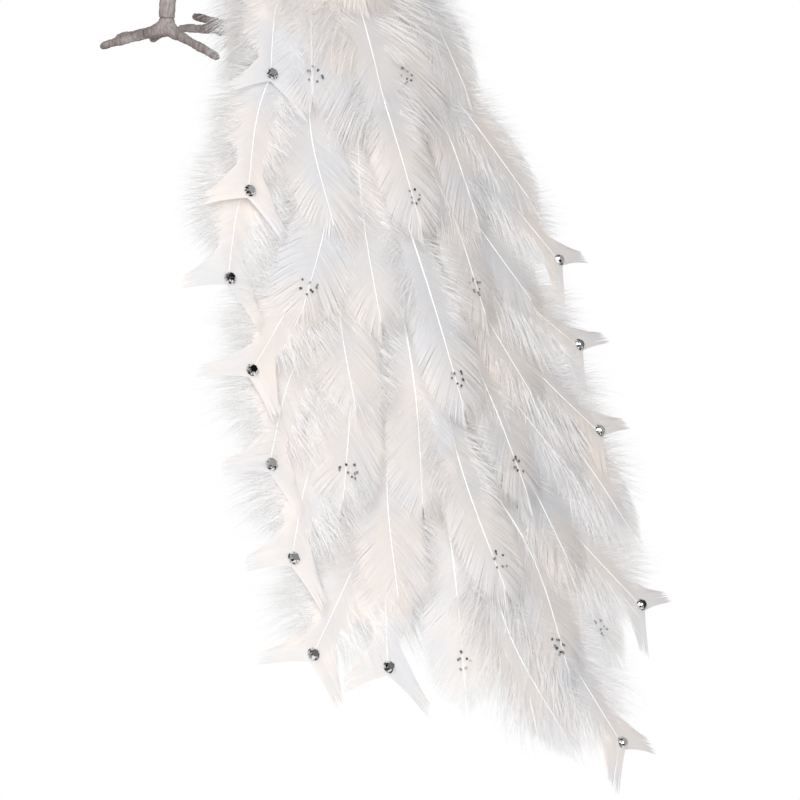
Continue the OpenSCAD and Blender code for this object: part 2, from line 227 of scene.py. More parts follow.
# %% [markdown]
# ## A quill is a line that carries what its barbs need
# Real barbs spring from both sides of the quill. Near the base they stand out wide and stay loose,
# as down; further on they lie at about 45 degrees and hook together into the firm vane; at the
# tip they almost follow the quill. So each quill is drawn as a line of points, and every point
# holds how long a barb is there (reach), how far it turns away from the quill (sweep), and the
# feather's three directions. Geometry Nodes read those numbers later.

# %% Build quill lines with their attributes
QUILL_POINTS = 22
rng = np.random.default_rng(7)


def quill_path(feather, reach_to=1.0, bow=0.05, lift=0.03):
    """Points along one quill: bowed sideways and a little arched, never quite straight."""
    t = np.linspace(0, 1, QUILL_POINTS)
    length = feather["length"] * reach_to
    sideways = rng.uniform(-bow, bow) * length * np.sin(np.pi * t) * (1.2 - 0.6 * t)
    arch = rng.uniform(0.2, 1) * lift * length * np.sin(np.pi * t)
    return t, (feather["root"] + np.outer(t * length, feather["along"])
               + np.outer(sideways, feather["across"]) + np.outer(arch, feather["up"]))


def line_object(name, rows):
    """A mesh of poly-lines. rows holds (points, reach, sweep, width, feather) for each quill."""
    count = len(rows[0][0])
    mesh = bpy.data.meshes.new(name)
    edges = [(r * count + i, r * count + i + 1) for r in range(len(rows)) for i in range(count - 1)]
    mesh.from_pydata(np.concatenate([row[0] for row in rows]).tolist(), edges, [])
    for key, column in (("reach", 1), ("sweep", 2), ("thick", 3)):
        data = mesh.attributes.new(key, "FLOAT", "POINT").data
        data.foreach_set("value", np.concatenate([row[column] for row in rows]).astype(np.float32))
    for key in ("along", "across", "up"):
        if key == "along":
            values = [np.gradient(row[0], axis=0) for row in rows]
            values = [v / np.linalg.norm(v, axis=1)[:, None] for v in values]
        else:
            values = [np.tile(row[4][key], (count, 1)) for row in rows]
        data = mesh.attributes.new(key, "FLOAT_VECTOR", "POINT").data
        data.foreach_set("vector", np.concatenate(values).astype(np.float32).ravel())
    body = bpy.data.objects.new(name, mesh)
    bpy.context.scene.collection.objects.link(body)
    return body


# %% [markdown]
# ## The barb tree
# One node tree grows every barb on the bird. It resamples the quill line to the barb spacing,
# drops a thin strip on each point, and then bends every strip with one formula: out along its
# sweep, curling towards the tip, lifted off the vane by chance, and waved by noise. With wide flat
# strips and no lift the barbs close up into a vane that splits as a real one does. With hair-thin
# strips and a lot of lift they turn into down.

# %% Build the barb tree
SOCKET_KINDS = {float: "NodeSocketFloat", int: "NodeSocketInt"}


def tree_with_inputs(name, inputs):
    """A geometry tree with a Geometry input, the given named inputs and a Material input."""
    tree = bpy.data.node_groups.new(name, "GeometryNodeTree")
    tree.interface.new_socket("Geometry", in_out="INPUT", socket_type="NodeSocketGeometry")
    for label, value in inputs.items():
        socket = tree.interface.new_socket(label, in_out="INPUT", socket_type=SOCKET_KINDS[type(value)])
        socket.default_value = value
    tree.interface.new_socket("Material", in_out="INPUT", socket_type="NodeSocketMaterial")
    tree.interface.new_socket("Geometry", in_out="OUTPUT", socket_type="NodeSocketGeometry")
    return tree, add_node(tree, "NodeGroupInput").outputs


BARB_INPUTS = {
    "Spacing": 1.0 * MM, "Barbs per root": 2, "Segments": 5, "Width": 1.0 * MM, "Taper": 4.0,
    "Length jitter": 0.1, "Angle jitter": 0.1, "Lift": 0.0, "Curl": 0.3, "Cup": 0.0,
    "Wave": 0.0, "Wave scale": 120.0, "Twist": 0.0, "Seed": 1,
}


def build_barb_tree():
    tree, given = tree_with_inputs("barbs_on_quills", BARB_INPUTS)

    def maths(operation, a, b, c=0.0):
        inputs = {0: a, 1: b} if operation != "MULTIPLY_ADD" else {0: a, 1: b, 2: c}
        return add_node(tree, "ShaderNodeMath", {"operation": operation}, inputs).outputs[0]

    def scaled(vector, factor):
        return add_node(tree, "ShaderNodeVectorMath", {"operation": "SCALE"},
                        {0: vector, "Scale": factor}).outputs[0]

    def total(*vectors):
        result = vectors[0]
        for vector in vectors[1:]:
            result = add_node(tree, "ShaderNodeVectorMath", {"operation": "ADD"},
                              {0: result, 1: vector}).outputs[0]
        return result

    def stored(geometry, label, kind, value, domain="POINT"):
        return add_node(tree, "GeometryNodeStoreNamedAttribute", {"data_type": kind, "domain": domain},
                        {"Geometry": geometry, "Name": label, "Value": value}).outputs[0]

    def named(label, kind="FLOAT"):
        return add_node(tree, "GeometryNodeInputNamedAttribute", {"data_type": kind},
                        {"Name": label}).outputs["Attribute"]

    position = add_node(tree, "GeometryNodeInputPosition").outputs[0]
    curves = add_node(tree, "GeometryNodeMeshToCurve", None, {"Mesh": given["Geometry"]}).outputs[0]
    even = add_node(tree, "GeometryNodeResampleCurve", {"mode": "LENGTH"},
                    {"Curve": curves, "Length": given["Spacing"]}).outputs[0]
    roots = add_node(tree, "GeometryNodeCurveToPoints", {"mode": "EVALUATED"}, {"Curve": even}).outputs[0]
    copies = add_node(tree, "GeometryNodeDuplicateElements", {"domain": "POINT"},
                      {"Geometry": roots, "Amount": given["Barbs per root"]})
    side = maths("MULTIPLY_ADD", maths("MODULO", copies.outputs[1], 2.0), 2.0, -1.0)
    chance = add_node(tree, "FunctionNodeRandomValue", {"data_type": "FLOAT_VECTOR"},
                      {"Min": (-0.5, -0.5, -0.5), "Max": (0.5, 0.5, 0.5), "Seed": given["Seed"]}).outputs[0]
    points = stored(copies.outputs[0], "side", "FLOAT", side)
    points = stored(points, "root", "FLOAT_VECTOR", position)
    points = stored(points, "chance", "FLOAT_VECTOR", chance)

    strip = add_node(tree, "GeometryNodeMeshGrid", None,
                     {"Size X": 1.0, "Size Y": 1.0,
                      "Vertices X": maths("ADD", given["Segments"], 1.0), "Vertices Y": 2}).outputs[0]
    strip = stored(strip, "place", "FLOAT_VECTOR", position)
    laid = add_node(tree, "GeometryNodeInstanceOnPoints", None,
                    {"Points": points, "Instance": strip}).outputs[0]
    laid = add_node(tree, "GeometryNodeRealizeInstances", None, {"Geometry": laid}).outputs[0]

    place = add_node(tree, "ShaderNodeSeparateXYZ", None, {0: named("place", "FLOAT_VECTOR")})
    luck = add_node(tree, "ShaderNodeSeparateXYZ", None, {0: named("chance", "FLOAT_VECTOR")})
    s = maths("ADD", place.outputs["X"], 0.5)
    stretch = maths("MULTIPLY_ADD", luck.outputs["X"], given["Length jitter"], 1.0)
    length = maths("MULTIPLY", named("reach"), stretch)
    angle = maths("MULTIPLY_ADD", luck.outputs["Y"], given["Angle jitter"], named("sweep"))
    along, across, up = (named(label, "FLOAT_VECTOR") for label in ("along", "across", "up"))
    lean = maths("COSINE", angle, 0.0)
    out = maths("MULTIPLY", maths("SINE", angle, 0.0), named("side"))
    rise = maths("MULTIPLY", luck.outputs["Z"], given["Lift"])
    curl = maths("MULTIPLY", given["Curl"], s)
    cup = maths("MULTIPLY", given["Cup"], s)
    heading = total(scaled(along, maths("ADD", lean, curl)), scaled(across, out),
                    scaled(up, maths("ADD", rise, cup)))
    spot = total(scaled(named("root", "FLOAT_VECTOR"), given["Wave scale"]),
                 scaled(named("chance", "FLOAT_VECTOR"), 1.2), scaled(along, maths("MULTIPLY", s, 1.1)))
    noise = add_node(tree, "ShaderNodeTexNoise", {"noise_dimensions": "3D"},
                     {"Vector": spot, "Scale": 1.0, "Detail": 1.0}).outputs["Color"]
    swing = add_node(tree, "ShaderNodeVectorMath", {"operation": "SUBTRACT"},
                     {0: noise, 1: (0.5, 0.5, 0.5)}).outputs[0]
    wave = scaled(swing, maths("MULTIPLY", maths("MULTIPLY", given["Wave"], length), maths("POWER", s, 1.4)))
    taper = maths("SUBTRACT", 1.02, maths("POWER", s, given["Taper"]))
    breadth = maths("MULTIPLY", maths("MULTIPLY", place.outputs["Y"], given["Width"]), taper)
    turned = maths("MULTIPLY", maths("MULTIPLY", luck.outputs["X"], given["Twist"]), 2.0)
    edge = total(scaled(along, breadth), scaled(up, maths("MULTIPLY", breadth, turned)))
    bent = total(named("root", "FLOAT_VECTOR"), scaled(heading, maths("MULTIPLY", length, s)), wave, edge)
    shaped = add_node(tree, "GeometryNodeSetPosition", None, {"Geometry": laid, "Position": bent}).outputs[0]
    dressed = add_node(tree, "GeometryNodeSetMaterial", None,
                       {"Geometry": shaped, "Material": given["Material"]}).outputs[0]
    add_node(tree, "NodeGroupOutput", None, {0: dressed})
    return tree


BARB_TREE = build_barb_tree()
print("barb tree nodes:", len(BARB_TREE.nodes))

# %% [markdown]
# ## The quill tree
# The quill itself is a tapering tube round the same line. Its thickness rides on the line as an
# attribute, so one tree serves the big train feathers and the small ones on the neck.

# %% Build the quill tree
def build_quill_tree():
    tree, given = tree_with_inputs("quill_tubes", {"Sides": 6})
    curves = add_node(tree, "GeometryNodeMeshToCurve", None, {"Mesh": given["Geometry"]}).outputs[0]
    thick = add_node(tree, "GeometryNodeInputNamedAttribute", {"data_type": "FLOAT"}, {"Name": "thick"})
    ring = add_node(tree, "GeometryNodeCurvePrimitiveCircle", None,
                    {"Resolution": given["Sides"], "Radius": 1.0}).outputs[0]
    scaled = add_node(tree, "GeometryNodeCurveToMesh", None,
                      {"Curve": curves, "Profile Curve": ring, "Scale": thick.outputs["Attribute"],
                       "Fill Caps": True}).outputs[0]
    real = add_node(tree, "GeometryNodeRealizeInstances", None, {"Geometry": scaled}).outputs[0]
    dressed = add_node(tree, "GeometryNodeSetMaterial", None,
                       {"Geometry": real, "Material": given["Material"]}).outputs[0]
    smooth = add_node(tree, "GeometryNodeSetShadeSmooth", None, {"Geometry": dressed}).outputs[0]
    add_node(tree, "NodeGroupOutput", None, {0: smooth})
    return tree


QUILL_TREE = build_quill_tree()


def grow(lines, tree, material, **settings):
    """Runs a tree over a line object and returns the result as a plain mesh."""
    modifier = lines.modifiers.new("grow", "NODES")
    modifier.node_group = tree
    for item in tree.interface.items_tree:
        if item.in_out == "INPUT" and item.name in settings:
            modifier[item.identifier] = settings[item.name]
        if item.in_out == "INPUT" and item.name == "Material":
            modifier[item.identifier] = material
    evaluated = lines.evaluated_get(bpy.context.evaluated_depsgraph_get())
    mesh = bpy.data.meshes.new_from_object(evaluated)
    lines.modifiers.remove(modifier)
    for label in ("reach", "sweep", "thick", "along", "across", "up", "side", "root", "chance", "place"):
        if label in mesh.attributes:
            mesh.attributes.remove(mesh.attributes[label])
    return mesh


def joined(name, meshes):
    """Joins several meshes into one object, keeping each one's material."""
    work = bmesh.new()
    materials = []
    for mesh in meshes:
        first = len(work.faces)
        work.from_mesh(mesh)
        work.faces.ensure_lookup_table()
        for face in work.faces[first:]:
            face.material_index = len(materials)
        materials.append(next(material for material in mesh.materials if material))
    result = bpy.data.meshes.new(name)
    work.to_mesh(result)
    work.free()
    for material in materials:
        result.materials.append(material)
    piece = bpy.data.objects.new(name, result)
    bpy.context.scene.collection.objects.link(piece)
    return piece


# %% [markdown]
# ## Two cuts of feather
# A whole feather narrows to a round end. On the train's edges the maker clips the quill short, so
# the last barbs run on by themselves in two lobes: a swallow tail, with its stone in the notch.
# Both are the same lines, with other numbers for reach and sweep. The loose down is a third set
# of numbers on the same quill.

# %% Profiles along a quill
def ramp(t, start, end):
    x = np.clip((t - start) / (end - start), 0, 1)
    return x * x * (3 - 2 * x)


def round_profile(t, feather):
    sweep = np.radians(58 - 50 * t ** 5)
    reach = feather["width"] / 2 * (0.85 + 0.95 * ramp(t, 0.1, 0.6) - 1.0 * ramp(t, 0.74, 1.0))
    return reach, sweep


def forked_profile(t, feather):
    sweep = np.radians(50 - 6 * t + 20 * ramp(t, 0.8, 0.95))
    half = feather["width"] / 2 * (0.5 + 0.6 * ramp(t, 0.02, 0.3)) * (1 - 0.55 * ramp(t, 0.5, 0.76))
    lobe = ramp(t, 0.79, 0.815)
    return half / np.sin(sweep) * (1 - lobe) + (28 - 3 * ramp(t, 0.82, 1)) * MM * lobe, sweep


def down_profile(t, feather):
    sweep = np.radians(80 - 30 * t)
    end = feather.get("down_to", 0.8)
    thinning = 1 - 0.8 * ramp(t, end - 0.36, end)
    reach = feather["width"] * (0.78 + 0.2 * np.sin(np.pi * t)) * thinning
    return reach * feather.get("fluff", 1.0), sweep


# %% [markdown]
# ## Feathers for every plate
# Each CAD node becomes two pieces. One holds the quills with their firm vanes, and the other the
# loose down. The settings differ between the large train feathers, the plumes that hang under the
# board, and the small body feathers, where finer barbs would be lost to the eye.

# %% Grow the plumage
STYLES = {
    "train": dict(vane=dict(Spacing=0.8, Width=1.1, Segments=5), quill=(0.62, 0.22), down_from=0.02,
                  down_to=0.68, down=dict(Spacing=0.11, Width=0.27, Segments=3), lift=0.012, bow=0.14,
                  sunk=2.2),
    "under": dict(vane=dict(Spacing=1.0, Width=1.3, Segments=4), quill=(0.75, 0.22), down_from=0.02,
                  down_to=0.98, down=dict(Spacing=0.14, Width=0.34, Segments=3), lift=0.012, bow=0.07,
                  sunk=0),
    "body": dict(vane=dict(Spacing=0.9, Width=1.1, Segments=4), quill=(0.4, 0.15), down_from=0.02,
                 down_to=0.8, down=dict(Spacing=0.36, Width=0.24, Segments=4), lift=0.03, bow=0.06,
                 sunk=0),
}


def put(piece, node, body=None):
    """Hangs a piece on the body its node rides on, and lets it stand for the node."""
    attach(piece, body or body_of(frame["nodes"][node])[0])
    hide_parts(node)
    return piece


def grow_feathers(name, feathers, style, forked=True):
    """Quills, vanes and down for a list of feathers. Returns the two pieces."""
    look = STYLES[style]
    thin, fluff = [], []
    for feather in feathers:
        cut = feather["forked"] and forked
        t, path = quill_path(feather, 0.84 if cut else 0.9, look["bow"], look["lift"])
        reach, sweep = (forked_profile if cut else round_profile)(t, feather)
        first, last = look["quill"]
        thick = (first + (last - first) * t ** 0.8) * MM
        thin.append((path, reach, sweep, thick, feather))
        feather.setdefault("down_to", look["down_to"])
        part = look["down_from"] + (feather["down_to"] - look["down_from"]) * t
        soft = np.stack([np.interp(part, t, path[:, k]) for k in range(3)], axis=1)
        soft = soft - feather["up"] * look["sunk"] * MM
        fluff.append((soft, *down_profile(part, feather), thick, feather))
    metres = lambda settings: {k: v * MM if k in ("Spacing", "Width") else v for k, v in settings.items()}
    seed = int(rng.integers(1, 9999))
    lines = line_object(name + "_lines", thin)
    quills = grow(lines, QUILL_TREE, QUILL)
    vanes = grow(lines, BARB_TREE, VANE, **{
        "Seed": seed, "Taper": 12.0, "Length jitter": 0.05, "Angle jitter": 0.025, "Curl": 0.16,
        "Cup": -0.06, "Wave": 0.06, "Wave scale": 55.0, "Twist": 0.1, "Lift": 0.015,
        **metres(look["vane"])})
    soft_lines = line_object(name + "_soft_lines", fluff)
    down = grow(soft_lines, BARB_TREE, DOWN, **{
        "Seed": seed + 1, "Taper": 5.0, "Length jitter": 0.3, "Angle jitter": 0.8, "Curl": 0.3,
        "Cup": 0.05, "Wave": 0.3, "Wave scale": 80.0, "Twist": 1.5, "Lift": 0.45,
        **metres(look["down"])})
    for helper in (lines, soft_lines):
        bpy.data.objects.remove(helper)
    return joined(name + "_vanes", [quills, vanes]), joined(name + "_down", [down])


SPINE = np.array([(80, 0, 92), (-44, 0, 185), (-69, 0, 275), (-62, 0, 300)]) * MM
head_low, head_high = (np.array(corner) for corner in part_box("foam_head"))
SPINE = np.vstack([SPINE, [(head_low + head_high) / 2]])


def from_spine(centre):
    """Straight away from the nearest point of the bird's spine."""
    best = None
    for a, b in zip(SPINE[:-1], SPINE[1:]):
        share = np.clip((centre - a) @ (b - a) / ((b - a) @ (b - a)), 0, 1)
        away = centre - a - share * (b - a)
        if best is None or away @ away < best @ best:
            best = away
    return best / np.linalg.norm(best)


# Where the CAD legs stand: the ankle under the hip, which lies a little behind it.
ANKLE_Y, ANKLE_Z = 24 * MM, 6 * MM
HIP_X, HIP_Z = 10 * MM, 102 * MM


def from_leg(side):
    """Level and straight out from the top of a leg. The side is -1 for left and 1 for right."""
    return lambda centre: centre - np.array([HIP_X, side * ANKLE_Y, centre[2]])


PLUMAGE = {f"train_row_{k}": ("train", lambda c: TRAIN_OUT) for k in range(1, 9)}
PLUMAGE["train_tip_feathers"] = ("train", lambda c: TRAIN_OUT)
PLUMAGE["train_under_feathers"] = ("under", lambda c: -TRAIN_OUT)
for group in ("rump", "back", "breast", "neck", "head"):
    PLUMAGE[group + "_feathers"] = ("body", from_spine)
for side, sign in (("left", -1), ("right", 1)):
    for group in ("wing_board", "wing_coverts", "wing_flights"):
        PLUMAGE[f"{side}_{group}"] = ("body", from_spine)
    PLUMAGE[side + "_thigh_tuft"] = ("body", from_leg(sign))

triangles = 0
for node, (style, outward) in PLUMAGE.items():
    feathers = read_feathers(node, outward)
    if style == "under":
        for feather in feathers:
            feather["fluff"] = 1.0 + 0.55 * ramp(-feather["root"][2], 0.02, 0.2)
    if style == "train":
        # The two edge feathers of a row make the train's fluffy outline, fuller lower down.
        feathers.sort(key=lambda f: (f["root"] + f["along"] * f["length"])[1])
        for feather in (feathers[0], feathers[-1]):
            feather.update(fluff=1.0 + 0.35 * ramp(-feather["root"][2], 0.0, 0.16), down_to=0.93)
    if "rump" in node or "thigh" in node:
        # Loose marabou: down almost to the tip. The rump's plumes hang over the train's root.
        for feather in feathers:
            feather.update(fluff=1.5, down_to=0.98)
            feather["length"] *= 1.3 if "rump" in node else 1.0
    for piece in grow_feathers(node, feathers, style):
        put(piece, node)
        triangles += sum(len(face.vertices) - 2 for face in piece.data.polygons)
    print(node, "feathers:", len(feathers), "triangles so far:", triangles)

# %% [markdown]
# ## Legs wound with paper tape
# Each leg is four wires wound with grey-brown paper tape, the kind that florists stretch round
# stems. The tape climbs in a slanting spiral, its edge shows as a low step, and stretching leaves
# fine creases along the leg. So each leg and toe is a tube whose radius follows the spiral and a
# few creases. The tube's ends close on small rounds, as the twisted tape does.

# %% Tape-wound tubes
crease_rng = np.random.default_rng(21)


def wound_tube(path, radii, around=28, pitch=5.0 * MM, step=0.28 * MM, flat=1.0):
    """Vertices and faces of a tube along path. Its radius steps at each turn of the tape."""
    path = np.array(path, float)
    count = len(path)
    ways = np.gradient(path, axis=0)
    ways /= np.linalg.norm(ways, axis=1)[:, None]
    travelled = np.concatenate([[0], np.cumsum(np.linalg.norm(np.diff(path, axis=0), axis=1))])
    waves = [(int(n), crease_rng.uniform(0, 6.28), crease_rng.uniform(-300, 300),
              crease_rng.uniform(0.02, 0.07)) for n in crease_rng.integers(3, 11, 6)]
    verts = []
    side = np.cross(ways[0], [0.13, 0.9, 0.4])
    for i in range(count):
        side = side - ways[i] * (side @ ways[i])
        side /= np.linalg.norm(side)
        other = np.cross(ways[i], side)
        end = min(1.0, min(i, count - 1 - i) / 3)
        for k in range(around):
            angle = 2 * np.pi * k / around
            turn = (travelled[i] / pitch - angle / (2 * np.pi)) % 1
            ridge = step * (1 - turn) ** 2 * end
            crease = sum(size * np.cos(n * angle + start + climb * travelled[i])
                         for n, start, climb, size in waves) * MM * end
            radius = radii[i] + ridge + crease
            verts.append(path[i] + radius * (np.cos(angle) * side + flat * np.sin(angle) * other))
    faces = [(i * around + k, i * around + (k + 1) % around, (i + 1) * around + (k + 1) % around,
              (i + 1) * around + k) for i in range(count - 1) for k in range(around)]
    verts += [path[0], path[-1]]
    first, last = count * around, (count - 1) * around
    faces += [(first, (k + 1) % around, k) for k in range(around)]
    faces += [(first + 1, last + k, last + (k + 1) % around) for k in range(around)]
    return verts, faces


def piece_from(name, shapes, material, smooth=True):
    """One object from several (vertices, faces) shapes, with its faces turned outwards."""
    work = bmesh.new()
    for verts, faces in shapes:
        made = [work.verts.new(v) for v in verts]
        for face in faces:
            work.faces.new([made[k] for k in face])
    bmesh.ops.recalc_face_normals(work, faces=work.faces)
    mesh = bpy.data.meshes.new(name)
    work.to_mesh(mesh)
    work.free()
    mesh.materials.append(material)
    for polygon in mesh.polygons:
        polygon.use_smooth = smooth
    piece = bpy.data.objects.new(name, mesh)
    bpy.context.scene.collection.objects.link(piece)
    return piece


def tape_material(name, light, dark):
    """Stretched paper tape: matt, streaked along the leg, with painted shade in the creases, where the
    colour darkens along with the bump.
    """
    material, tree, shader = new_material(name)
    place = add_node(tree, "ShaderNodeTexCoord").outputs["Object"]
    stretched = add_node(tree, "ShaderNodeMapping", None, {"Vector": place, "Scale": (1.0, 1.0, 0.22)})
    streaks = add_node(tree, "ShaderNodeTexNoise", None,
                       {"Vector": stretched.outputs[0], "Scale": 900.0, "Detail": 4.0, "Roughness": 0.65})
    blotches = add_node(tree, "ShaderNodeTexNoise", None, {"Vector": place, "Scale": 60.0, "Detail": 2.0})
    both = add_node(tree, "ShaderNodeMath", {"operation": "MULTIPLY_ADD"},
                    {0: blotches.outputs["Fac"], 1: 0.8, 2: -0.4}).outputs[0]
    both = add_node(tree, "ShaderNodeMath", {"operation": "ADD"},
                    {0: both, 1: streaks.outputs["Fac"]}).outputs[0]
    # Painted shade: the streak noise that sinks the bump into creases also picks the darker colour there,
    # and random blotches vary the tone on top.
    tint = add_node(tree, "ShaderNodeValToRGB", None, {"Fac": both})
    tint.color_ramp.elements[0].position = 0.34
    tint.color_ramp.elements[0].color = linear(dark)
    tint.color_ramp.elements[1].position = 0.66
    tint.color_ramp.elements[1].color = linear(light)
    tree.links.new(tint.outputs["Color"], shader.inputs["Base Color"])
    shader.inputs["Roughness"].default_value = 0.82
    shader.inputs["Specular IOR Level"].default_value = 0.2
    bump = add_node(tree, "ShaderNodeBump", None,
                    {"Height": streaks.outputs["Fac"], "Strength": 0.5, "Distance": 0.2 * MM})
    tree.links.new(bump.outputs[0], shader.inputs["Normal"])
    return material


TAPE = tape_material("paper_tape", "#a9a19f", "#7d7270")


def middle(node):
    low, high = (np.array(corner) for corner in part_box(node))
    return (low + high) / 2


def curve(points, count):
    """A smooth path through a few points, by a Catmull-Rom curve."""
    pts = [np.array(p, float) for p in points]
    pts = [2 * pts[0] - pts[1]] + pts + [2 * pts[-1] - pts[-2]]
    out = []
    spans = len(pts) - 3
    for value in np.linspace(0, spans - 1e-6, count):
        k, t = int(value), value % 1
        a, b, c, d = pts[k:k + 4]
        out.append(0.5 * (2 * b + (c - a) * t + (2 * a - 5 * b + 4 * c - d) * t ** 2
                          + (3 * b - a - 3 * c + d) * t ** 3))
    return np.array(out)


def farthest(node, start):
    """The two ends of a CAD node along its longest direction, the one nearest start first."""
    points = np.concatenate(plates(node))
    centre = points.mean(0)
    way = np.linalg.svd(points - centre, full_matrices=False)[2][0]
    reach = (points - centre) @ way
    ends = [centre + way * reach.min(), centre + way * reach.max()]
    return sorted(ends, key=lambda end: np.linalg.norm(end - start))


TOES = ("outer", "middle", "inner", "hind")
LEG_R, TOE_R = 4.5 * MM, 2.8 * MM
for side, sign in (("left", -1), ("right", 1)):
    ankle = np.array([0.0, sign * ANKLE_Y, ANKLE_Z])
    hip = np.array([HIP_X, sign * ANKLE_Y, HIP_Z])
    up = (hip - ankle) / np.linalg.norm(hip - ankle)
    long = np.linalg.norm(hip - ankle)
    spots = np.linspace(5.7 * MM, long + LEG_R - 0.1 * MM, 110)
    path = [ankle + up * s for s in spots]
    ball = np.sqrt(np.clip(1 - np.clip((spots - long) / LEG_R, 0, 1) ** 2, 0, 1))
    radii = (LEG_R - 0.3 * MM) * ball
    put(piece_from(side + "_leg_tape", [wound_tube(path, radii)], TAPE), side + "_leg_wrap")

    shaft = [ankle + up * s for s in np.linspace(-4.6 * MM, 5.6 * MM, 16)]
    swell = [4.4 * MM * math.sqrt(max(0.02, 1 - (s / 5.9) ** 2)) for s in np.linspace(-5.8, 3.5, 16)]
    knot = [wound_tube(shaft, swell)]
    for toe in TOES:
        root, tip = farthest(f"{side}_{toe}_toe", ankle)
        way = (tip - root) / np.linalg.norm(tip - root)
        hinge = root + way * TOE_R
        seat = ankle + up * 1.5 * MM
        branch = curve([seat, ankle + 0.45 * (hinge - ankle), hinge - way * 3.3 * MM], 18)
        knot.append(wound_tube(branch, np.linspace(4.1, 2.75, 18) * MM, pitch=4 * MM, step=0.2 * MM))
        run = np.linalg.norm(tip - hinge)
        sideways = np.cross(way, [0, 0, 1.0])
        sideways /= np.linalg.norm(sideways)
        droop = np.array([0, 0, -1.0])
        bend = crease_rng.uniform(-0.5, 0.5, 2) * MM
        spine = curve([
            hinge - way * TOE_R * 0.97, hinge, hinge + way * run * 0.35 + sideways * bend[0],
            hinge + way * run * 0.7 + sideways * bend[1] - droop * 0.35 * MM, tip - way * 0.2 * MM], 64)
        part = np.linspace(0, 1, 64)
        width = (2.62 - 0.75 * part) * MM
        width = width + 0.18 * MM * np.cos(part * 19 + crease_rng.uniform(0, 6)) * np.sin(np.pi * part)
        first, last = part * 64 / 5, (1 - part) * 64 / 7
        width = width * np.sqrt(np.clip(1 - (1 - np.clip(first, 0, 1)) ** 2, 0, 1))
        width = width * np.sqrt(np.clip(1 - (1 - np.clip(last, 0, 1)) ** 2, 0, 1))
        width = np.maximum(width, 0.25 * MM)
        put(piece_from(f"{side}_{toe}_toe_tape", [wound_tube(spine, width, 24, 4 * MM, 0.22 * MM)], TAPE),
            f"{side}_{toe}_toe")
    put(piece_from(side + "_ankle_knot", knot, TAPE), side + "_ankle_binding")
print("legs, knots and toes wound")

# %% [markdown]
# ## Rhinestones
# A flat-back rhinestone is a shallow glass cone with a foil mirror behind it. Its table is a flat
# octagon, and the facets round it throw back either the bright room or the dark side of it, which
# is why half of the facets look black. Here those reflections are painted: each facet keeps its own
# painted grey tone, from near black to bright, as an attribute.

# %% Cut the stones
stone_rng = np.random.default_rng(4)
GEM_SIDES = 12


def gem_shape(centre, axis, radius, height):
    """A cut stone: girdle, two rings of crown facets and a table."""
    side = np.cross(axis, [0.3, 0.8, 0.1])
    side /= np.linalg.norm(side)
    other = np.cross(axis, side)

    def ring(share, level, turn=0.0):
        angles = [2 * np.pi * (k + turn) / GEM_SIDES for k in range(GEM_SIDES)]
        return [centre + radius * share * (math.cos(a) * side + math.sin(a) * other)
                + axis * (height * (level - 0.5)) for a in angles]

    verts = ring(0.94, 0.0) + ring(1.0, 0.18) + ring(0.82, 0.62, 0.5) + ring(0.56, 1.0)
    n = GEM_SIDES
    faces = [tuple(range(n - 1, -1, -1)), tuple(range(3 * n, 4 * n))]
    for k in range(n):
        j = (k + 1) % n
        faces.append((k, j, n + j, n + k))
        faces.append((n + k, n + j, 2 * n + k))
        faces.append((2 * n + k, n + j, 2 * n + j))
        faces.append((2 * n + k, 2 * n + j, 3 * n + j))
        faces.append((3 * n + k, 2 * n + k, 3 * n + j))
    return verts, faces


def tone_material(name, attribute, roughness):
    material, tree, shader = new_material(name)
    tone = add_node(tree, "ShaderNodeAttribute", {"attribute_name": attribute})
    tree.links.new(tone.outputs["Color"], shader.inputs["Base Color"])
    shader.inputs["Metallic"].default_value = 1.0
    shader.inputs["Roughness"].default_value = roughness
    return material


def give_tones(piece, attribute, tones):
    """One grey tone for each face, as a corner colour."""
    colours = piece.data.color_attributes.new(attribute, "FLOAT_COLOR", "CORNER")
    flat = []
    for polygon, tone in zip(piece.data.polygons, tones):
        flat += [tone, tone, tone * 1.01, 1.0] * polygon.loop_total
    colours.data.foreach_set("color", flat)


PAINTED_REFLECTION_FOIL = tone_material("foiled_glass_painted_reflections", "tone", 0.12)
stones = []
for points in plates("rhinestones"):
    centre = points.mean(0)
    axes = np.linalg.svd(points - centre, full_matrices=False)[2]
    spread = [np.ptp((points - centre) @ axis) for axis in axes]
    axis = axes[int(np.argmin(spread))]
    axis = axis * np.sign(axis @ TRAIN_OUT)
    low = ((points - centre) @ axis).min()
    stones.append(gem_shape(centre + axis * (low + min(spread) / 2), axis, max(spread) / 2, min(spread)))
gems = piece_from("cut_stones", stones, PAINTED_REFLECTION_FOIL, smooth=False)
# Painted reflection: each facet gets a grey from near black to bright, standing in for the bright room or
# its dark side mirrored in the stone.
painted_reflection_tones = [0.02, 0.08, 0.4, 0.7, 0.9, 0.95]
give_tones(gems, "tone", [float(stone_rng.choice(painted_reflection_tones)) for _ in gems.data.polygons])
put(gems, "rhinestones")
print("stones cut:", len(stones))

# %% [markdown]
# ## Glitter
# The maker dabs glue near a feather's end and drops coarse glitter on it. The flakes are small
# hexagons of foil that settle at odd tilts, some bright and some grey, in a loose ring.

